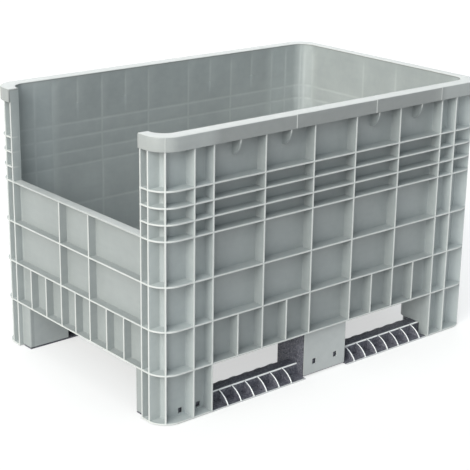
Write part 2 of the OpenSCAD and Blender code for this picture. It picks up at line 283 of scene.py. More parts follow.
def section(half=FULL, side="both"):
    """A whole rib, or the half of one that starts or ends a piece with a flat face there."""
    offsets, drop, rise = half_section(half)
    flat = 5
    left = slice(None) if side in ("both", "last") else slice(0, flat)
    right = slice(None) if side in ("both", "first") else slice(0, flat)
    parts = [(-offsets[left][::-1], offsets[right][1:])] + [
        (values[left][::-1], values[right][1:]) for values in (drop, rise)]
    return tuple(np.concatenate(pair) for pair in parts)


def fillet_only(side):
    """The fillet between a wall's panel and its neighbour's rib, at the start or at the end of a piece."""
    rise = FILLET * (1 - np.sin(np.radians([0, 45, 90])))
    step = FILLET * (1 - np.cos(np.radians([0, 45, 90])))
    none = np.full(3, np.nan)
    return (step, none, rise) if side == "first" else (-step[::-1], none, rise[::-1])


print("rib section has", len(section()[0]), "points,", "half sections have", len(section(side="first")[0]))

# %% [markdown]
# ## Relief walls
# The outside of a wall is a height field: over each point of the panel the ribs reach a certain depth. Two
# sets of grid lines carry it. Stations stand along the wall, close together across each rib and further
# apart between them. Rows lie up the wall in the same way for the flanges. Where a rib and a flange cross,
# the deeper one shows. The inside of the wall is smooth, with faint sink marks behind the ribs, where the
# thicker plastic has shrunk as it cooled.

# %% Stations and rows
# Depth and half width of a sink mark, and how much of an edge's radius is painted pale, for wear and a painted
# highlight
SINK, SINK_WIDTH, WEAR_AND_SHEEN_BAND = 0.35, 4.5, 0.75
# Rows closer than SAME_ROW are one row, and a row or station beside no rib is FAR from one
SAME_ROW, FAR = 0.6, 99.0


def station_item(line, columns, reach=(0.0, HEIGHT), gusset=False):
    """Stations beside a line of the wall: their offsets from it, and each one's drop and rise."""
    offsets, drop, rise = columns
    return {"line": line, "offsets": offsets, "drop": drop, "rise": rise, "reach": reach, "gusset": gusset}


def rib(line, half=FULL, side="both", reach=(BASE_Z, RIM_UNDER), gusset=False):
    """An upright rib: its line, half thickness, which side shows, how far up it reaches, and its gusset."""
    return station_item(line, section(half, side), reach, gusset)


def edge_of(line, side):
    """The place where a wall ends against its neighbour's rib."""
    return station_item(line, fillet_only(side))


def stations(ribs, outlines, step):
    """Walked lengths on each outline, and for each station its rib's number, drop, rise and offset."""
    lengths = [[] for _ in outlines]
    rows = []
    last = None
    for number, item in enumerate(ribs):
        here = [meets(outline, item["line"], item["offsets"]) for outline in outlines]
        if last is not None:
            gaps = [now[0] - then for now, then in zip(here, last)]
            n = max(int(math.ceil(max(gaps) / step)) - 1, 0)
            share = (np.arange(n) + 1) / (n + 1)
            for k, then in enumerate(last):
                lengths[k].append(then + gaps[k] * share)
            rows.append(np.tile([-1, np.nan, 0.0, FAR], (n, 1)))
        for k, now in enumerate(here):
            lengths[k].append(now)
        numbers = np.full(len(item["offsets"]), number)
        rows.append(np.stack([numbers, item["drop"], item["rise"], item["offsets"]], -1))
        last = [now[-1] for now in here]
    return [np.concatenate(k) for k in lengths], np.concatenate(rows)


def flange_rows(levels, low, high, extra=()):
    """Heights of the rows, each with its drop, rise and distance from its flange; the lowest is cut flat."""
    items = []
    for number, level in enumerate(levels):
        side = "first" if number == 0 else "both"
        offsets, drop, rise = section(FULL, side)
        items.append(np.stack([level + offsets, drop, rise, offsets], -1))
    rows = np.concatenate(items)
    more = [z for z in list(extra) + [low, high] if np.abs(rows[:, 0] - z).min() > SAME_ROW]
    if more:
        plain = np.array([[z, np.nan, 0.0, FAR] for z in more])
        rows = np.concatenate([rows, plain])
    rows = rows[np.argsort(rows[:, 0], kind="stable")]
    return rows[(rows[:, 0] >= low - 1e-6) & (rows[:, 0] <= high + 1e-6)]


def gusset_depth(z):
    """A convex quarter ellipse: nothing at the gusset's foot, a rib's full depth where it meets the rim."""
    below = np.clip((RIM_Z - z) / GUSSET_H, 0, 1)
    return RIB_D * np.sqrt(1 - below ** 2)


def relief(ribs, rows, step=6.0):
    """Outer and inner grid of a ribbed wall, the mark for pale edges (wear and a painted highlight), and the
    mark for sink lines.
    """
    (u_in, u_out, u_rib), table = stations(ribs, (INSIDE, OUTSIDE, RIBS), step)
    inside, outside, edge = quarter(INSIDE, u_in), quarter(OUTSIDE, u_out), quarter(RIBS, u_rib)
    full = np.linalg.norm(edge - outside, axis=1)[:, None]
    number, drop, rise, offset = table.T
    upright = np.where(np.isnan(drop)[:, None], rise[:, None], full - drop[:, None])
    z = rows[:, 0][None, :]
    shown = np.zeros((len(table), len(rows)), bool)
    for k, item in enumerate(ribs):
        mine = (number == k)[:, None]
        reach = (z >= item["reach"][0] - 1e-6) & (z <= item["reach"][1] + 1e-6)
        shown |= mine & reach
        if item["gusset"]:
            curve = np.where(z > RIM_Z, full, gusset_depth(z))
            capped = np.minimum(upright, curve)
            upright = np.where(mine & (z > item["reach"][1]), capped, upright)
            shown |= mine & (z > RIM_Z - GUSSET_H)
    upright = np.where(shown, upright, 0.0)
    flange = np.where(np.isnan(rows[:, 1])[None, :], rows[:, 2][None, :], full - rows[:, 1][None, :])
    depth = np.maximum(upright, flange)
    share = (depth / full)[..., None]
    flat = outside[:, None, :] + (edge - outside)[:, None, :] * share
    outer = np.concatenate([flat, np.broadcast_to(z[..., None], flat.shape[:2] + (1,))], -1)
    dent = np.maximum(np.where(shown, np.exp(-(offset / SINK_WIDTH) ** 2)[:, None], 0.0),
                      np.exp(-(rows[:, 3] / SINK_WIDTH) ** 2)[None, :])
    back = inside[:, None, :] + (outside - inside)[:, None, :] * (dent * SINK / WALL_T)[..., None]
    inner = np.concatenate([back, np.broadcast_to(z[..., None], back.shape[:2] + (1,))], -1)
    # Points near a rib's edge get the pale mark: partly wear, partly a painted highlight on the rounded edge.
    wear_and_sheen = (depth > full - WEAR_AND_SHEEN_BAND * EDGE_R).astype(float)
    return outer, inner, wear_and_sheen, dent


def turned(points, sign_x, sign_y):
    """Points of the +X, +Y quarter, mirrored to another quarter."""
    return points * np.array([sign_x, sign_y, 1.0])


def relief_mesh(name, parts, signs):
    """One mesh from relief grids and extra skins, mirrored to a quarter. A part is (points, quads, marks)."""
    points, quads, wear_and_sheen, sunk, start = [], [], [], [], 0
    for part_points, part_quads, part_wear_and_sheen, part_sunk in parts:
        part_points = turned(part_points, *signs)
        if signed_volume(part_points, part_quads) < 0:
            part_quads = part_quads[:, ::-1]
        points.append(part_points)
        quads.append(part_quads + start)
        wear_and_sheen.append(part_wear_and_sheen)
        sunk.append(part_sunk)
        start += len(part_points)
    marks = {"wear_and_sheen": np.concatenate(wear_and_sheen), "sunk": np.concatenate(sunk)}
    return make_mesh(name, np.concatenate(points), np.concatenate(quads), marks=marks)


def relief_part(ribs, rows, keep=None, step=6.0):
    """A relief wall as one closed skin with its marks."""
    outer, inner, wear_and_sheen, dent = relief(ribs, rows, step)
    keep = keep(outer) if keep else None
    points, quads = thick_sheet(outer, inner, keep)
    none = np.zeros(wear_and_sheen.size)
    dent[[0, -1], :] = 0.0
    dent[:, [0, -1]] = 0.0
    return points, quads, np.concatenate([wear_and_sheen.ravel(), none]), np.concatenate([none, dent.ravel()])


gusset_rows = [RIM_Z - GUSSET_H * math.sin(math.radians(a)) for a in range(0, 91, 9)]
WALL_ROWS = flange_rows(LEVELS, BASE_Z, RIM_UNDER, gusset_rows)
print("rows up a wall", len(WALL_ROWS))

# %% [markdown]
# ## Materials
# Polyethylene straight from the mould is never one even colour. Slow swirls remain from the melt, the skin
# has a fine satin grain, and edges are painted paler, partly as rubbing and partly as a painted highlight. A
# picture wrapped round the box could show that, but node patterns on Object coordinates need no unwrapping and
# stay sharp close up. The meshes carry two marks for them on their points: one along the ribs' edges, for wear
# and a painted highlight, and one named sunk, behind the ribs.

# %% Material helpers
def new_material(name):
    """An empty material with its Principled shader and a Texture Coordinate node."""
    material = bpy.data.materials.new(name)
    material.use_nodes = True
    nodes = material.node_tree.nodes
    nodes.clear()
    output = nodes.new("ShaderNodeOutputMaterial")
    shader = nodes.new("ShaderNodeBsdfPrincipled")
    material.node_tree.links.new(shader.outputs[0], output.inputs[0])
    where = nodes.new("ShaderNodeTexCoord")
    return material, material.node_tree, shader, where.outputs["Object"]


def noise(tree, place_at, scale, detail=3.0, rough=0.5, stretch=None):
    """A noise texture on Object coordinates, drawn out along an axis if stretch is given."""
    if stretch:
        mapping = tree.nodes.new("ShaderNodeMapping")
        mapping.inputs["Scale"].default_value = stretch
        tree.links.new(place_at, mapping.inputs["Vector"])
        place_at = mapping.outputs["Vector"]
    node = tree.nodes.new("ShaderNodeTexNoise")
    node.inputs["Scale"].default_value = scale
    node.inputs["Detail"].default_value = detail
    node.inputs["Roughness"].default_value = rough
    tree.links.new(place_at, node.inputs["Vector"])
    return node.outputs["Fac"]


def ramp(tree, value, stops):
    """A colour ramp from a list of (position, colour)."""
    node = tree.nodes.new("ShaderNodeValToRGB")
    elements = node.color_ramp.elements
    while len(elements) < len(stops):
        elements.new(0.5)
    for element, (position, colour) in zip(elements, stops):
        element.position = position
        element.color = (*colour, 1.0)
    tree.links.new(value, node.inputs["Fac"])
    return node.outputs["Color"]


def blend_colours(tree, share, first, second, mode="MIX"):
    """Mixes two colours, each a socket or a plain colour, by a share from a socket or a number."""
    node = tree.nodes.new("ShaderNodeMix")
    node.data_type = "RGBA"
    node.blend_type = mode
    for socket, value in ((node.inputs[0], share), (node.inputs[6], first), (node.inputs[7], second)):
        if isinstance(value, bpy.types.NodeSocket):
            tree.links.new(value, socket)
        elif isinstance(value, float):
            socket.default_value = value
        else:
            socket.default_value = (*value, 1.0)
    return node.outputs[2]


def maths(tree, operation, *values):
    """A Math node on sockets and numbers."""
    node = tree.nodes.new("ShaderNodeMath")
    node.operation = operation
    for socket, value in zip(node.inputs, values):
        if isinstance(value, bpy.types.NodeSocket):
            tree.links.new(value, socket)
        else:
            socket.default_value = value
    return node.outputs[0]


def product(tree, first, second):
    """Two values multiplied."""
    return maths(tree, "MULTIPLY", first, second)


def scaled(colour, gain):
    """A colour made paler or darker by one factor."""
    return tuple(gain * c for c in colour)


def spots(tree, here, scale, detail, rough, low, high):
    """Spots of a noise: none below low, full above high, or the other way round if low is above high."""
    stops = [(low, BLACK), (high, WHITE)] if low < high else [(high, WHITE), (low, BLACK)]
    return ramp(tree, noise(tree, here, scale, detail, rough), stops)


def smooth_step(tree, value, low, high):
    """Nothing on low's side, one on high's side, and a smooth rise between them."""
    node = tree.nodes.new("ShaderNodeMapRange")
    node.interpolation_type = "SMOOTHSTEP"
    tree.links.new(value, node.inputs["Value"])
    node.inputs["From Min"].default_value, node.inputs["From Max"].default_value = low, high
    return node.outputs["Result"]


def mark(tree, name):
    """A value that the mesh carries on its points."""
    node = tree.nodes.new("ShaderNodeAttribute")
    node.attribute_name = name
    return node.outputs["Fac"]


def away(tree, here, axis):
    """Distance from the middle plane along one axis."""
    split = tree.nodes.new("ShaderNodeSeparateXYZ")
    tree.links.new(here, split.inputs[0])
    return maths(tree, "ABSOLUTE", split.outputs[axis])


def zone(tree, here, range_x, range_y):
    """One where the distances along X and Y both pass the second number of their range, in millimetres."""
    in_x = smooth_step(tree, away(tree, here, "X"), range_x[0] * MM, range_x[1] * MM)
    in_y = smooth_step(tree, away(tree, here, "Y"), range_y[0] * MM, range_y[1] * MM)
    return product(tree, in_x, in_y)


def bump(tree, shader, height, strength, distance):
    """Joins a height to the shader's normal."""
    node = tree.nodes.new("ShaderNodeBump")
    node.inputs["Strength"].default_value = strength
    node.inputs["Distance"].default_value = distance
    tree.links.new(height, node.inputs["Height"])
    tree.links.new(node.outputs["Normal"], shader.inputs["Normal"])


BLACK, WHITE = (0.0, 0.0, 0.0), (1.0, 1.0, 1.0)

# %% [markdown]
# ## The tub's plastic
# Four layers make its colour. Slow swirls and a finer cloud mottle the tint. A gain paints light: the inside
# and the corner posts are painted paler, as if more lit than the outer walls. Faint streaks run round the
# walls, as the melt flowed. Last come the two marks: edges are much paler, partly from wear and partly as a
# painted highlight, and sink lines only a little.

# %% Tub plastic
PALE_STREAK, EDGE_WEAR_AND_SHEEN, PALE_SINK = (0.50, 0.51, 0.49), (0.46, 0.47, 0.46), (0.78, 0.80, 0.78)
CLOUD_LOW, CLOUD_HIGH = (0.40, 0.42, 0.42), (0.60, 0.60, 0.59)
INSIDE_PAINTED_LIGHT, CORNER_PAINTED_LIGHT = 1.20, 1.42
INSIDE_X, INSIDE_Y = (IN_X + 2, IN_X + 1), (IN_Y + 2, IN_Y + 1)
CORNER_X, CORNER_Y = (EDGE_X - 25, EDGE_X + 25), (EDGE_Y - 12, EDGE_Y + 12)


def tub_plastic(name, tint):
    """Light grey polyethylene: slow swirls, a satin grain, pale edges from wear and a painted highlight,
    painted light that makes the inside and the corner posts paler, faint lines at sink marks.
    """
    material, tree, shader, here = new_material(name)
    swirl = noise(tree, here, 5.0, 4.0, 0.55)
    cloud = noise(tree, here, 38.0, 3.0, 0.6)
    body = ramp(tree, swirl, [(0.3, scaled(tint, 0.93)), (0.7, scaled(tint, 1.05))])
    mottle = ramp(tree, cloud, [(0.35, CLOUD_LOW), (0.65, CLOUD_HIGH)])
    body = blend_colours(tree, 0.16, body, mottle, "OVERLAY")
    # Painted light: the inside of the tub is painted paler by one gain, and the corner posts by another.
    gain = blend_colours(tree, zone(tree, here, INSIDE_X, INSIDE_Y), WHITE, scaled(WHITE, INSIDE_PAINTED_LIGHT))
    gain = blend_colours(tree, zone(tree, here, CORNER_X, CORNER_Y), gain, scaled(WHITE, CORNER_PAINTED_LIGHT))
    body = blend_colours(tree, 1.0, body, gain, "MULTIPLY")
    streak = noise(tree, here, 9.0, 5.0, 0.6, stretch=(1.0, 1.0, 7.0))
    body = blend_colours(tree, product(tree, streak, 0.10), body, PALE_STREAK)
    # Pale edges: partly wear, partly a painted highlight where rounded edges catch the light.
    edge_wear_and_sheen = product(tree, mark(tree, "wear_and_sheen"), maths(tree, "ADD", 0.55, product(tree, cloud, 0.5)))
    body = blend_colours(tree, edge_wear_and_sheen, body, EDGE_WEAR_AND_SHEEN)
    body = blend_colours(tree, product(tree, mark(tree, "sunk"), 0.12), body, PALE_SINK)
    tree.links.new(body, shader.inputs["Base Color"])
    tree.links.new(maths(tree, "ADD", 0.30, product(tree, cloud, 0.22)), shader.inputs["Roughness"])
    shader.inputs["Specular IOR Level"].default_value = 0.5
    grain = noise(tree, here, 900.0, 2.0, 0.5)
    ripple = noise(tree, here, 24.0, 2.0, 0.4)
    bump(tree, shader, maths(tree, "ADD", product(tree, grain, 0.10), ripple), 0.35, 0.0008)
    return material


TUB_TINT, RIM_SHADE_TINT, FOOT_LIGHT_TINT = (0.222, 0.240, 0.241), (0.180, 0.189, 0.188), (0.33, 0.345, 0.345)
tub_skin = tub_plastic("tub polyethylene", TUB_TINT)
# The rim's plastic is the tub's plastic painted darker: painted shade on the rim's face.
rim_shaded_skin = tub_plastic("rim polyethylene painted shade", RIM_SHADE_TINT)
# The feet's plastic is the tub's plastic painted paler: painted light on panels that stand out from the walls.
foot_lit_skin = tub_plastic("foot polyethylene painted light", FOOT_LIGHT_TINT)
print("tub plastics", [m.name for m in (tub_skin, rim_shaded_skin, foot_lit_skin)])

# %% [markdown]
# ## The runners' plastic
# Recycled plastic keeps bits of whatever it was before. Three noises at different scales scatter fine pale
# specks, larger grey flecks and dark spots over a cloudy base. The ramp ribs and the deck's edges are painted
# almost white, partly as wear by wheels and floors and partly as a painted highlight, and so is the lip along
# the outside.

# %% Runner plastic
SPECK, FLECK, SPOT = (0.42, 0.43, 0.44), (0.26, 0.26, 0.29), (0.02, 0.02, 0.025)
RIB_WEAR_AND_SHEEN, LIP_WEAR_AND_SHEEN, LIP_WIDTH = (0.88, 0.88, 0.87), (0.62, 0.63, 0.63), 5.0


def runner_plastic(name):
    """Dark grey recycled polyethylene: coarse specks, pale edges and lip from wear and a painted highlight, a
    rougher skin than the tub's.
    """
    material, tree, shader, here = new_material(name)
    cloud = noise(tree, here, 14.0, 4.0, 0.6)
    base = ramp(tree, cloud, [(0.3, (0.050, 0.050, 0.068)), (0.7, (0.120, 0.120, 0.145))])
    speck = noise(tree, here, 420.0, 3.0, 0.65)
    pale = ramp(tree, speck, [(0.56, BLACK), (0.70, WHITE)])
    base = blend_colours(tree, product(tree, pale, 0.42), base, SPECK)
    fleck = spots(tree, here, 140.0, 3.0, 0.6, 0.50, 0.66)
    base = blend_colours(tree, product(tree, fleck, 0.5), base, FLECK)
    dark = spots(tree, here, 210.0, 2.0, 0.5, 0.46, 0.34)
    base = blend_colours(tree, product(tree, dark, 0.7), base, SPOT)
    # Pale rib and deck edges: partly wear from wheels and floors, partly a painted highlight.
    base = blend_colours(tree, product(tree, mark(tree, "wear_and_sheen"), 0.92), base, RIB_WEAR_AND_SHEEN)
    # The lip along the outside is painted paler: partly wear, partly a painted highlight.
    lip = maths(tree, "GREATER_THAN", away(tree, here, "Y"), (RIB_Y - LIP_WIDTH) * MM)
    base = blend_colours(tree, product(tree, lip, 0.7), base, LIP_WEAR_AND_SHEEN)
    tree.links.new(base, shader.inputs["Base Color"])
    tree.links.new(maths(tree, "ADD", 0.42, product(tree, cloud, 0.3)), shader.inputs["Roughness"])
    shader.inputs["Specular IOR Level"].default_value = 0.45
    bump(tree, shader, speck, 0.3, 0.0006)
    return material


runner_skin = runner_plastic("runner polyethylene")
print("materials", [m.name for m in bpy.data.materials])

# %% [markdown]
# ## The four walls
# On the real tub the walls and posts are one shell. They are made here as the regions that the CAD model
# names, and each ends where its neighbour's rib begins, so no seam shows. The long walls have four full
# ribs, four short ribs in the lowest row, and a gusset above each short rib that braces the rim.

# %% Long walls
LOW = (BASE_Z, LEVELS[1])
long_ribs = [edge_of(along_x(-EDGE_X), "first")]
for x in sorted([s * b for s in (-1, 1) for b in BAY_X + HALF_BAYS_X]):
    low_only = abs(x) in HALF_BAYS_X
    long_ribs.append(rib(along_x(x), reach=LOW if low_only else (BASE_Z, RIM_UNDER), gusset=low_only))
long_ribs.append(edge_of(along_x(EDGE_X), "last"))
for name, side in (("front_wall", -1), ("rear_wall", 1)):
    part = relief_part(long_ribs, WALL_ROWS, step=30.0)
    place(name + "_skin", relief_mesh(name, [part], (1, side)), "tub", "tub_grey", tub_skin, name)

# %% Short walls
def short_wall(name, side, rows, top):
    """A short side up to a given height: two full ribs, and five in the lowest row."""
    ribs = [edge_of(along_y(EDGE_Y), "first")]
    lines = [(s * BAY_Y, (BASE_Z, top)) for s in (-1, 1)]
    lines += [(s * y, LOW) for s in (-1, 1) for y in HALF_BAYS_Y[1:]] + [(0.0, LOW)]
    for y, reach in sorted(lines, reverse=True):
        ribs.append(rib(along_y(y), reach=reach))
    ribs.append(edge_of(along_y(-EDGE_Y), "last"))
    part = relief_part(ribs, rows, step=30.0)
    return place(name + "_skin", relief_mesh(name, [part], (side, 1)), "tub", "tub_grey", tub_skin, name)


short_wall("end_wall", 1, WALL_ROWS, RIM_UNDER)
picking_rows = flange_rows(LEVELS[:3], BASE_Z, SILL_LOW, [SILL_LOW - FILLET])
picking_rows[-1, 2] = FILLET
short_wall("picking_wall", -1, picking_rows, SILL_LOW)

# %% [markdown]
# ## The corner posts
# A post wraps round a corner of the tub with two ribs on the long side, two on the short side and one
# across the bend. The stations follow both outlines at once, so the rib across the bend keeps its thickness
# although the two outlines have different radii.

# %% Posts
post_ribs = [rib(along_x(POST_X), side="first"), rib(along_x(POST_X + POST_BAY)), rib(CORNER_LINE),
             rib(along_y(POST_Y + POST_GAP)), rib(along_y(POST_Y), side="last")]
CORNERS = {"front_left": (-1, -1), "front_right": (1, -1), "rear_left": (-1, 1), "rear_right": (1, 1)}
for corner, signs in CORNERS.items():
    name = "post_" + corner
    part = relief_part(post_ribs, WALL_ROWS, step=6.0)
    place(name + "_skin", relief_mesh(name, [part], signs), "tub", "tub_grey", tub_skin, name)

# %% [markdown]
# ## The sill
# The low wall ends in a flat ledge with rounded long edges, painted pale all over as a painted highlight.
# A bevelled box would do as well, but the outline of a rounded rectangle carried along the opening needs no
# modifier.

# %% Sill
def rounded_box_section(low, high, radius, steps=4):
    """The outline of a rectangle with rounded corners, as points of a plane, anticlockwise."""
    (x0, y0), (x1, y1) = low, high
    turn = np.linspace(0, math.pi / 2, steps + 1)
    corners = []
    for cx, cy, start in ((x1 - radius, y1 - radius, 0), (x0 + radius, y1 - radius, 1),
                          (x0 + radius, y0 + radius, 2), (x1 - radius, y0 + radius, 3)):
        angle = turn + start * math.pi / 2
        corners.append(np.stack([cx + radius * np.cos(angle), cy + radius * np.sin(angle)], -1))
    return np.concatenate(corners)


SILL_EDGE_R, SILL_HIGHLIGHT = 1.6, 0.6
sill_outline = rounded_box_section((-RIB_X, SILL_LOW), (-IN_X, SILL_HIGH), SILL_EDGE_R)
across = np.linspace(-EDGE_Y, EDGE_Y, 9)[:, None]
sill = np.stack(np.broadcast_arrays(sill_outline[None, :, 0], across, sill_outline[None, :, 1]), -1)
# The whole ledge gets part of the pale edge colour: a painted highlight.
sill_marks = {"wear_and_sheen": np.full(sill.shape[:2], SILL_HIGHLIGHT), "sunk": np.zeros(sill.shape[:2])}
sill_mesh = swept_mesh("picking_sill", sill, sill_marks)
place("picking_sill_ledge", sill_mesh, "tub", "tub_grey", tub_skin, "picking_sill")

# %% [markdown]
# ## The rim
# The rim is a channel turned upside down: a flat top that is flush with the inside of the wall, and a skirt
# that hangs down just outside the ribs. Its section is carried round the outline. Some of its points keep
# their distance from the outer face and the others from the inner one, because the rim is wider on the long
# sides. Thin raised lines cross its face where the plates of the mould met. These lines and the top edge are
# painted pale, the top edge as a painted highlight, and the rim as a whole is painted darker than the walls,
# as painted shade.

# %% Rim section
def rim_profile():
    """The rim's section as (distance, height): from the outer face, or if negative, from the inner one.

    The points run up over the rounded outer edge, across the flat top, round the inner edge and down to the
    wall, then out under the top, and back round the lower edge of the skirt.
    """
    top_r, lip_r, in_r, tuck, step = 3.2, 1.2, 1.6, 0.7, 0.6
    points = []
    for t in np.linspace(0, math.pi / 2, 6):
        points.append((top_r - top_r * math.cos(t), HEIGHT - top_r + top_r * math.sin(t)))
    for t in np.linspace(0, math.pi / 2, 4):
        points.append((-(in_r - in_r * math.sin(t)) - 1e-9, HEIGHT - in_r + in_r * math.cos(t)))
    points.append((-tuck - 1e-9, RIM_UNDER + step))
    points.append((-tuck - 1e-9, RIM_UNDER))
    points.append((RIM_T, RIM_UNDER))
    for t in np.linspace(0, math.pi / 2, 4):
        points.append((RIM_T - lip_r + lip_r * math.cos(t), RIM_Z + lip_r - lip_r * math.sin(t)))
    for t in np.linspace(0, math.pi / 2, 4):
        points.append((lip_r - lip_r * math.sin(t), RIM_Z + lip_r - lip_r * math.cos(t)))
    return np.array(points)


RIM_PROFILE = rim_profile()
# Raised lines lift only points this near the outer face, and points this near the top, like the raised lines,
# are painted pale: on the top edge that is a painted highlight
SEAM_REACH, TOP_EDGE, RIM_PALE_SHARE = 2.0, 0.9, 0.9
print("rim section has", len(RIM_PROFILE), "points")


def line_item(line, offsets):
    """Stations across a line of the rim, given by offsets from it."""
    offsets = np.array(offsets, float)
    return station_item(line, (offsets, np.full(len(offsets), np.nan), np.zeros(len(offsets))))


def seam(line, width, height):
    """A raised line of the mould across the rim."""
    item = line_item(line, [-width, -0.6 * width, 0, 0.6 * width, width])
    item["rise"] = np.array([0, 1, 1, 1, 0]) * height
    return item


def rim_mesh(name, items, signs, step):
    """The rim's section carried along part of the outline, with raised lines on its outer face."""
    (u_in, u_rim), table = stations(items, (INSIDE, RIM), step)
    inside, outside = quarter(INSIDE, u_in), quarter(RIM, u_rim)
    wide = np.linalg.norm(outside - inside, axis=1)[:, None]
    inwards = (inside - outside) / wide
    distance, height = RIM_PROFILE[:, 0][None, :], RIM_PROFILE[:, 1][None, :]
    from_outer = np.where(distance >= 0, distance, wide + distance)
    raised = table[:, 2][:, None] * (from_outer < SEAM_REACH)
    flat = outside[:, None, :] + inwards[:, None, :] * (from_outer - raised)[..., None]
    sections = np.concatenate([flat, np.broadcast_to(height, from_outer.shape)[..., None]], -1)
    on_seam = (table[:, 2][:, None] > 0) & (from_outer < SEAM_REACH)
    # The top edge is painted pale as a painted highlight, and the raised lines are painted pale too.
    pale = RIM_PALE_SHARE * (on_seam | (height > HEIGHT - TOP_EDGE))
    marks = {"wear_and_sheen": np.broadcast_to(pale, sections.shape[:2]).T, "sunk": np.zeros(sections.shape[:2]).T}
    return swept_mesh(name, turned(sections, *signs), marks)


# %% Rim pieces
SEAM_LEFT, SEAM_RIGHT, SEAM_POST = -150, 148, 414
LONG_STEP, CORNER_STEP = 40.0, 5.0


def add_rim(name, items, signs, step):
    """Makes one length of the rim and puts it in place of its node."""
    # The rim gets the darker plastic, which is painted shade.
    place(name + "_band", rim_mesh(name, items, signs, step), "tub", "tub_grey", rim_shaded_skin, name)


long_items = [line_item(along_x(-EDGE_X), [0]), seam(along_x(SEAM_LEFT), 2.0, 0.8),
              seam(along_x(SEAM_RIGHT), 2.0, 0.8), seam(along_x(SEAM_POST), 1.6, 0.5),
              line_item(along_x(EDGE_X), [0])]
short_items = [line_item(along_y(EDGE_Y), [0]), seam(along_y(0), 1.6, 0.5),
               line_item(along_y(-EDGE_Y), [0])]
corner_items = [line_item(along_x(EDGE_X), [0]), line_item(along_x(POST_X + POST_BAY + 3), [0]),
                seam(CORNER_LINE, 0.9, 0.5), line_item(along_y(POST_Y + POST_GAP - 3), [0]),
                line_item(along_y(EDGE_Y), [0])]
add_rim("rim_front", long_items, (1, -1), LONG_STEP)
add_rim("rim_rear", long_items, (-1, 1), LONG_STEP)
add_rim("rim_end", short_items, (1, 1), LONG_STEP)
for corner, signs in CORNERS.items():
    add_rim("rim_corner_" + corner, corner_items, signs, CORNER_STEP)

# %% [markdown]
# ## The feet
# Under each post a foot carries the same ribs down to the floor, on a flange that stops just above it.
# Inside the ribs a plain shell with one rounded corner encloses the runner's block, and starts a hair behind
# the ribbed wall, so that no two faces lie in one plane. Two windows in the ribbed wall take the runner's
# snap lugs. In the middle of each long side a plain panel with two windows does the same.

# %% Corner feet
FLOOR_FLANGE = FLANGE_GAP + RIB_T / 2
WINDOW_W, WINDOW_H, WINDOW_Z = 14.0, 16.0, 20.0
WINDOWS_X = (POST_X + POST_BAY / 2 - 8, POST_X + POST_BAY + 20)
NEAR_WALL = 20.0
NOTCH_Z = RUNNER_H + CLEAR


def window_stations(x):
    """Two stations at the sides of a window."""
    return line_item(along_x(x), [-WINDOW_W / 2, WINDOW_W / 2])


def window_keep(outer):
    """Leaves out the quads inside the two windows of a corner foot."""
    middle = (outer[:-1, :-1] + outer[1:, 1:]) / 2
    keep = np.ones(middle.shape[:2], bool)
    for x in WINDOWS_X:
        beside = np.abs(middle[..., 0] - x) > WINDOW_W / 2
        above_or_below = np.abs(middle[..., 2] - WINDOW_Z) > WINDOW_H / 2
        keep &= beside | above_or_below | (middle[..., 1] < OUT_Y - NEAR_WALL)
    return keep


def path_with_corners(corners, radii, step_deg=10):
    """A path of straight runs joined by arcs: points, and the unit direction to its left at each point."""
    corners = np.array(corners, float)
    points, normals = [], []
    for k, (corner, radius) in enumerate(zip(corners, radii)):
        if k in (0, len(corners) - 1):
            run = corners[1] - corners[0] if k == 0 else corners[-1] - corners[-2]
            run = run / np.linalg.norm(run)
            points.append(corner[None])
            normals.append(np.array([[-run[1], run[0]]]))
            continue
        come = (corner - corners[k - 1]) / np.linalg.norm(corner - corners[k - 1])
        go = (corners[k + 1] - corner) / np.linalg.norm(corners[k + 1] - corner)
        bend = math.atan2(come[0] * go[1] - come[1] * go[0], come @ go)
        reach = radius * math.tan(abs(bend) / 2)
        left_x, left_y = -come[1], come[0]
        centre = corner - come * reach + np.array([left_x, left_y]) * radius * np.sign(bend)
        turn = np.linspace(0, bend, max(int(abs(math.degrees(bend)) / step_deg), 2) + 1)
        c, s = np.cos(turn), np.sin(turn)
        normal = np.stack([left_x * c - left_y * s, left_x * s + left_y * c], -1)
        points.append(centre - normal * radius * np.sign(bend))
        normals.append(normal)
    return np.concatenate(points), np.concatenate(normals)


def plain_shell(corners, radii, thickness, heights, keep=None):
    """A plain upright sheet along a path: outer face on the path, inner face to its left."""
    path, normal = path_with_corners(corners, radii)
    z = np.array(heights, float)
    outer = np.concatenate([np.repeat(path[:, None, :], len(z), 1),
                            np.broadcast_to(z[None, :, None], (len(path), len(z), 1))], -1)
    inner = outer.copy()
    inner[..., :2] += normal[:, None, :] * thickness
    keep = keep(outer) if keep else None
    points, quads = thick_sheet(outer, inner, keep)
    none = np.zeros(len(points))
    return points, quads, none, none


def notch_keep(outer):
    """Leaves out the low part of the side towards the fork opening, where the runner's deck passes."""
    middle = (outer[:-1, :-1] + outer[1:, 1:]) / 2
    return ~((middle[..., 0] < EDGE_X + FOOT_R + 1) & (middle[..., 1] < IN_Y) & (middle[..., 2] < NOTCH_Z))


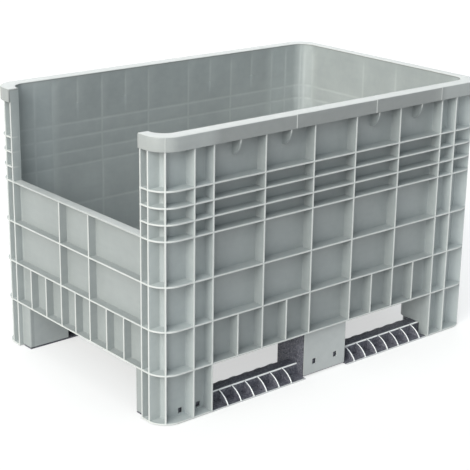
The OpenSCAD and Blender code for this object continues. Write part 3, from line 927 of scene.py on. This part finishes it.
foot_ribs = [rib(along_x(POST_X), side="first", reach=(0, BASE_Z)), window_stations(WINDOWS_X[0]),
             rib(along_x(POST_X + POST_BAY), reach=(0, BASE_Z)), window_stations(WINDOWS_X[1]),
             rib(CORNER_LINE, reach=(0, BASE_Z)), rib(along_y(POST_Y + POST_GAP), reach=(0, BASE_Z)),
             rib(along_y(POST_Y), side="last", reach=(0, BASE_Z))]
window_rows = [WINDOW_Z - WINDOW_H / 2, WINDOW_Z + WINDOW_H / 2]
foot_rows = flange_rows([FLOOR_FLANGE], FLANGE_GAP, BASE_Z, window_rows + [60, 100])
BEHIND, LAP, FOOT_CORNER_R = 0.05, 0.3, 4.6
SHELL_ROWS = (FOOT_GAP, NOTCH_Z, 90, BASE_Z)
shell_path = [(EDGE_X + BEHIND, IN_Y + LAP), (EDGE_X + BEHIND, FOOT_IN), (FOOT_FACE_X, FOOT_IN),
              (FOOT_FACE_X, POST_Y)]
for corner, signs in CORNERS.items():
    ribbed = relief_part(foot_ribs, foot_rows, window_keep, step=6.0)
    plain = plain_shell(shell_path, (0, FOOT_R, FOOT_CORNER_R, 0), WALL_T, SHELL_ROWS, notch_keep)
    name = "foot_" + corner
    place(name + "_skin", relief_mesh(name, [ribbed, plain], signs), "tub", "tub_grey", tub_skin, name)

# %% [markdown]
# ## Simple mouldings
# Some nodes already have the right shape and lack only what every moulded edge has: a small radius. A copy
# of the node's mesh is merged, its flat faces are joined up, and a narrow bevel rounds its edges.

# %% Rounded copies
import bmesh


def rounded_copy(node, radius, material, slot, body, segments=2):
    """A copy of a CAD node with merged points, joined flat faces and rounded edges."""
    mesh = bpy.data.meshes.new(node + "_moulded")
    work = bmesh.new()
    work.from_mesh(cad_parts[node].data)
    bmesh.ops.remove_doubles(work, verts=work.verts, dist=0.00002)
    bmesh.ops.dissolve_limit(work, angle_limit=math.radians(1.0), verts=work.verts, edges=work.edges)
    work.to_mesh(mesh)
    work.free()
    mesh.materials.clear()
    piece = place(node + "_moulded", mesh, body, slot, material, node)
    mesh.shade_smooth()
    mesh.set_sharp_from_angle(angle=SHARP)
    bevel = piece.modifiers.new("radius", "BEVEL")
    bevel.width = radius * MM
    bevel.segments = segments
    bevel.limit_method = "ANGLE"
    bevel.angle_limit = math.radians(40)
    bevel.harden_normals = True
    return piece


# The centre feet use the paler plastic, which is painted light.
for node in ("centre_foot_front", "centre_foot_rear"):
    rounded_copy(node, 1.0, foot_lit_skin, "tub_grey", "tub")
rounded_copy("floor_deck", 0.8, tub_skin, "tub_grey", "tub", 1)
for end in ("front", "rear"):
    for part, radius in (("base", 0.9), ("centre_block", 1.2), ("end_blocks", 1.0), ("lugs", 0.5)):
        rounded_copy(end + "_runner_" + part, radius, runner_skin, "runner_grey", end + "_runner")

# %% [markdown]
# ## The runners' deck and ramps
# The raised deck between the blocks is a plate on two webs. On both of its edges a row of ramp ribs falls
# to the base plate in a shallow convex arc, so that a truck's wheels can roll over it. The arc bulges more on
# the outer side. Both the deck and the ribs are closed sections carried along a line, so their rounded edges
# are real, and the marks on their points say which edges are painted pale, partly as wear and partly as a
# painted highlight.

# %% Deck and ramp ribs
RUN_OUT, RUN_IN = RIB_Y - 2, FOOT_IN + CLEAR
RUN_MID = (RUN_OUT + RUN_IN) / 2
RAMP_LEN = (RUN_OUT - RUN_IN - DECK_W) / 2
BAY_START, BAY_END = CENTRE_BAY / 2 + 2 + CLEAR, EDGE_X - CLEAR
BLOCK_X0 = POST_X + 22
INNER_TURN, OUTER_TURN = math.radians(12), math.radians(25)
DECK_EDGE_R, RAMP_EDGE_R, RAMP_FOOT, RAMP_END = 3.2, 1.1, 0.3, 0.8
print("deck", round(RUN_IN, 1), "to", RUN_OUT, "ramps", round(RAMP_LEN, 1), "long")


def deck_profile():
    """The deck's section, a plate with two rounded edges on two webs, and the points in one edge.

    Below each arc stands one more point, so that the pale mark on the edge fades there and not down the web.
    """
    half, radius = DECK_W / 2, DECK_EDGE_R
    turn = np.linspace(0, math.pi / 2, 5)
    arc = np.stack([half - radius + radius * np.cos(turn), RUNNER_H - radius + radius * np.sin(turn)], -1)
    right = np.concatenate([[(half, RUNNER_H - radius - 1.0)], arc])
    left = right[::-1] * np.array([-1.0, 1.0])
    web, low, under = half - DECK_T, BASE_T, RUNNER_H - DECK_T
    foot = [(-half, low), (-web, low), (-web, under), (web, under), (web, low), (half, low)]
    return np.concatenate([right, left, np.array(foot)]), len(right)


def ramp_height(t, half_turn):
    """Height of a ramp rib at distance t from the deck: a circle's arc through both of its ends.

    The arc turns through twice half_turn. Its centre lies below the chord, so the rib swells upwards.
    """
    rise = RUNNER_H - BASE_T
    chord = math.hypot(RAMP_LEN, rise)
    radius = chord / (2 * math.sin(half_turn))
    top_slope = math.atan2(rise, RAMP_LEN) - half_turn
    centre_t, centre_z = -radius * math.sin(top_slope), RUNNER_H - radius * math.cos(top_slope)
    return centre_z + np.sqrt(radius ** 2 - (t - centre_t) ** 2)


def joined(name, skins, side):
    """One mesh of several swept skins in the front runner's place; side 1 turns them to the rear."""
    points, quads, caps, wear_and_sheen, start = [], [], [], [], 0
    for sections, mark_values in skins:
        sections = sections * np.array([-1.0, -1.0, 1.0]) if side else sections
        p, q, c = swept(sections)
        if signed_volume(p, q) < 0:
            q, c = q[:, ::-1], [cap[::-1] for cap in c]
        points.append(p)
        quads.append(q + start)
        caps += [cap + start for cap in c]
        wear_and_sheen.append(mark_values.T.ravel())
        start += len(p)
    marks = {"wear_and_sheen": np.concatenate(wear_and_sheen)}
    return make_mesh(name, np.concatenate(points), np.concatenate(quads), caps, marks)


def deck_skins():
    """The deck on both sides of the centre block."""
    profile, edge = deck_profile()
    wear_and_sheen = np.zeros(len(profile))
    wear_and_sheen[1:edge - 1] = wear_and_sheen[edge + 1:2 * edge - 1] = 1.0
    skins = []
    for sign in (-1, 1):
        x = sign * np.linspace(CENTRE_BAY / 2 + 1, BLOCK_X0, 14)[:, None]
        y, z = -RUN_MID + profile[None, :, 0], profile[None, :, 1]
        sections = np.stack(np.broadcast_arrays(x, y, z), -1)
        skins.append((sections, np.broadcast_to(wear_and_sheen, sections.shape[:2])))
    return skins


def ramp_skins():
    """Ramp ribs on both edges of the deck, six in the left bay and seven in the right one."""
    t = np.linspace(0, RAMP_LEN - 0.2, 15)
    inner, outer = (np.maximum(ramp_height(t, turn), BASE_T + RAMP_END) for turn in (INNER_TURN, OUTER_TURN))
    half, radius = RAMP_T / 2, RAMP_EDGE_R
    turn = np.radians([90, 60, 30, 0])
    side_x = half - radius + radius * np.sin(turn)
    drop = radius * (1 - np.cos(turn))
    x = np.concatenate([[half + RAMP_FOOT], side_x, -side_x[::-1], [-half - RAMP_FOOT]])
    drop = np.concatenate([[np.nan], drop, drop[::-1], [np.nan]])
    wear_and_sheen = np.array([0.0, 0, 1, 1, 1, 1, 1, 1, 0, 0.0])
    skins = []
    middle = (BAY_START + BAY_END) / 2
    for side, count in zip((-1, 1), RAMP_COUNTS):
        for i in range(count):
            at = side * middle + (i - (count - 1) / 2) * RAMP_PITCH
            for out, height in ((1, inner), (-1, outer)):
                y = -RUN_MID + out * (DECK_W / 2 + t)
                z = np.maximum(height[:, None] - np.nan_to_num(drop)[None, :], BASE_T + 0.01)
                z = np.where(np.isnan(drop)[None, :], BASE_T, z)
                sections = np.stack(np.broadcast_arrays(at + x, y[:, None], z), -1)
                skins.append((sections, np.broadcast_to(wear_and_sheen, z.shape)))
    return skins


for side, end in enumerate(("front", "rear")):
    body = end + "_runner"
    for node, piece, make_skins in (("_deck", "_deck_plate", deck_skins), ("_ramp_ribs", "_ramps", ramp_skins)):
        mesh = joined(body + node, make_skins(), side)
        place(body + piece, mesh, body, "runner_grey", runner_skin, body + node)

# %% [markdown]
# ## Floor and light
# The box stands on a light table: a pale floor that also glows a little, so that it stays almost white and
# the shadows on it stay soft and light. Four sun lamps with very wide angles act as large soft boxes, and a
# dim blue sky fills in. The two strongest come from the side of the picking opening, the warmer one level
# with it and the cooler one between it and the front, so the short side is bright and warm and the long side
# lies in cooler shade. The camera alone sees white behind the floor's far edge.

# %% Floor
FLOOR_SPAN, FLOOR_GLOW = 30.0, 0.55
FLOOR_TONES = [(0.3, (0.33, 0.33, 0.33)), (0.7, (0.35, 0.35, 0.35))]
floor_mesh = bpy.data.meshes.new("floor")
floor_points = [(x * FLOOR_SPAN, y * FLOOR_SPAN, 0) for x, y in ((-1, -1), (1, -1), (1, 1), (-1, 1))]
floor_mesh.from_pydata(floor_points, [], [(0, 1, 2, 3)])
floor = bpy.data.objects.new("floor", floor_mesh)
bpy.context.scene.collection.objects.link(floor)
floor_material, floor_tree, floor_shader, floor_here = new_material("pale floor")
floor_tone = ramp(floor_tree, noise(floor_tree, floor_here, 1.5, 2.0), FLOOR_TONES)
floor_tree.links.new(floor_tone, floor_shader.inputs["Base Color"])
floor_shader.inputs["Emission Color"].default_value = (1.0, 1.0, 1.0, 1.0)
floor_shader.inputs["Emission Strength"].default_value = FLOOR_GLOW
floor_shader.inputs["Roughness"].default_value = 0.9
floor_mesh.materials.append(floor_material)
print("floor", 2 * FLOOR_SPAN, "m wide")

# %% Sky
world = bpy.data.worlds.new("studio")
bpy.context.scene.world = world
world.use_nodes = True
studio = world.node_tree
sky = studio.nodes["Background"]
sky.inputs["Color"].default_value = (0.80, 0.93, 1.0, 1.0)
sky.inputs["Strength"].default_value = 0.40
backdrop = studio.nodes.new("ShaderNodeBackground")
backdrop.inputs["Color"].default_value = (1.0, 1.0, 1.0, 1.0)
rays = studio.nodes.new("ShaderNodeLightPath")
either = studio.nodes.new("ShaderNodeMixShader")
studio.links.new(rays.outputs["Is Camera Ray"], either.inputs[0])
studio.links.new(sky.outputs[0], either.inputs[1])
studio.links.new(backdrop.outputs[0], either.inputs[2])
studio.links.new(either.outputs[0], studio.nodes["World Output"].inputs["Surface"])
print("sky strength", round(sky.inputs["Strength"].default_value, 2))

# %% Lamps
def sun_light(name, towards, angle, power, colour):
    """A sun lamp that shines from the direction towards, with soft shadows from its wide angle."""
    data = bpy.data.lights.new(name, "SUN")
    data.angle, data.energy, data.color = math.radians(angle), power, colour
    light = bpy.data.objects.new(name, data)
    bpy.context.scene.collection.objects.link(light)
    light.rotation_mode = "QUATERNION"
    light.rotation_quaternion = (-Vector(towards)).to_track_quat("-Z", "Y")
    return light


LAMPS = (("main light", (-0.93, -0.10, 0.37), 40.0, 2.1, (1.0, 0.935, 0.80)),
         ("fill light", (-0.74, -0.42, 0.54), 45.0, 2.5, (0.94, 0.985, 1.0)),
         ("top light", (-0.10, -0.12, 1.0), 50.0, 1.2, (1.0, 0.985, 0.96)),
         ("back light", (0.45, 0.70, 0.45), 50.0, 1.0, (1.0, 1.0, 1.0)))
for lamp in LAMPS:
    sun_light(*lamp)
bpy.context.scene.view_settings.view_transform = "Standard"
